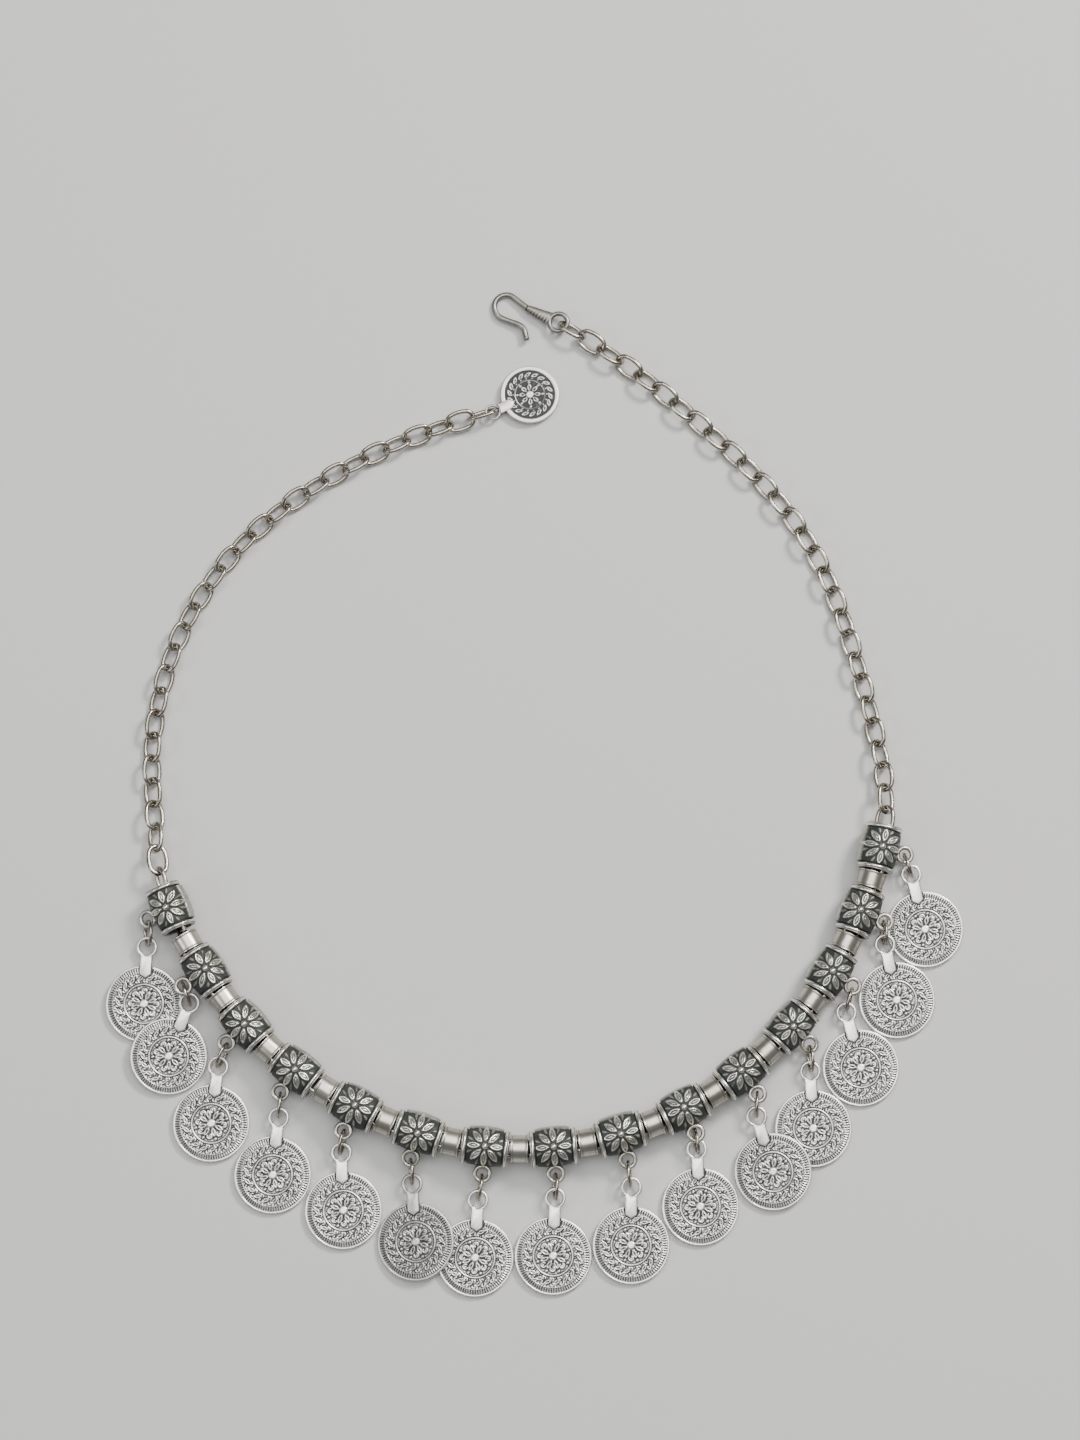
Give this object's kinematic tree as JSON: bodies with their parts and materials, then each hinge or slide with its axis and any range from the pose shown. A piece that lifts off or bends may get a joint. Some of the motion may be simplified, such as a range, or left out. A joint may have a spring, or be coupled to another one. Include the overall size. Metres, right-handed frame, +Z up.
{
  "type": "coin necklace",
  "caption": "Silver necklace on an oval-link chain, with flower barrel beads between spacer tubes, hanging coin charms and a wire hook; it lies open on a surface.",
  "frame": {"origin": "middle of the necklace's footprint, on the surface that it lies on", "axes": "+Z up from the surface, +Y towards the clasp, +X to the right; the coins hang towards -Y"},
  "size_m": [0.169, 0.2022, 0.0086],
  "materials": {
    "coin_silver": "struck and worn, dark in the recesses",
    "oxidised_silver": "oxidised, with bright worn relief",
    "satin_silver": "satin",
    "wire_silver": "worn polish"
  },
  "bodies": {
    "root": {"flower_bead_01": "oxidised_silver", "flower_bead_02": "oxidised_silver", "flower_bead_03": "oxidised_silver", "flower_bead_04": "oxidised_silver", "flower_bead_05": "oxidised_silver", "flower_bead_06": "oxidised_silver", "flower_bead_07": "oxidised_silver", "flower_bead_08": "oxidised_silver", "flower_bead_09": "oxidised_silver", "flower_bead_10": "oxidised_silver", "flower_bead_11": "oxidised_silver", "flower_bead_12": "oxidised_silver", "flower_bead_13": "oxidised_silver", "flower_bead_14": "oxidised_silver", "flower_bead_15": "oxidised_silver", "spacer_tube_01": "satin_silver", "spacer_tube_02": "satin_silver", "spacer_tube_03": "satin_silver", "spacer_tube_04": "satin_silver", "spacer_tube_05": "satin_silver", "spacer_tube_06": "satin_silver", "spacer_tube_07": "satin_silver", "spacer_tube_08": "satin_silver", "spacer_tube_09": "satin_silver", "spacer_tube_10": "satin_silver", "spacer_tube_11": "satin_silver", "spacer_tube_12": "satin_silver", "spacer_tube_13": "satin_silver", "spacer_tube_14": "satin_silver", "coin_01": "coin_silver", "coin_02": "coin_silver", "coin_03": "coin_silver", "coin_04": "coin_silver", "coin_05": "coin_silver", "coin_06": "coin_silver", "coin_07": "coin_silver", "coin_08": "coin_silver", "coin_09": "coin_silver", "coin_10": "coin_silver", "coin_11": "coin_silver", "coin_12": "coin_silver", "coin_13": "coin_silver", "coin_14": "coin_silver", "coin_15": "coin_silver", "end_coin": "coin_silver", "chain": "wire_silver", "jump_rings": "wire_silver", "clasp_hook": "wire_silver"}
  },
  "joints": []
}
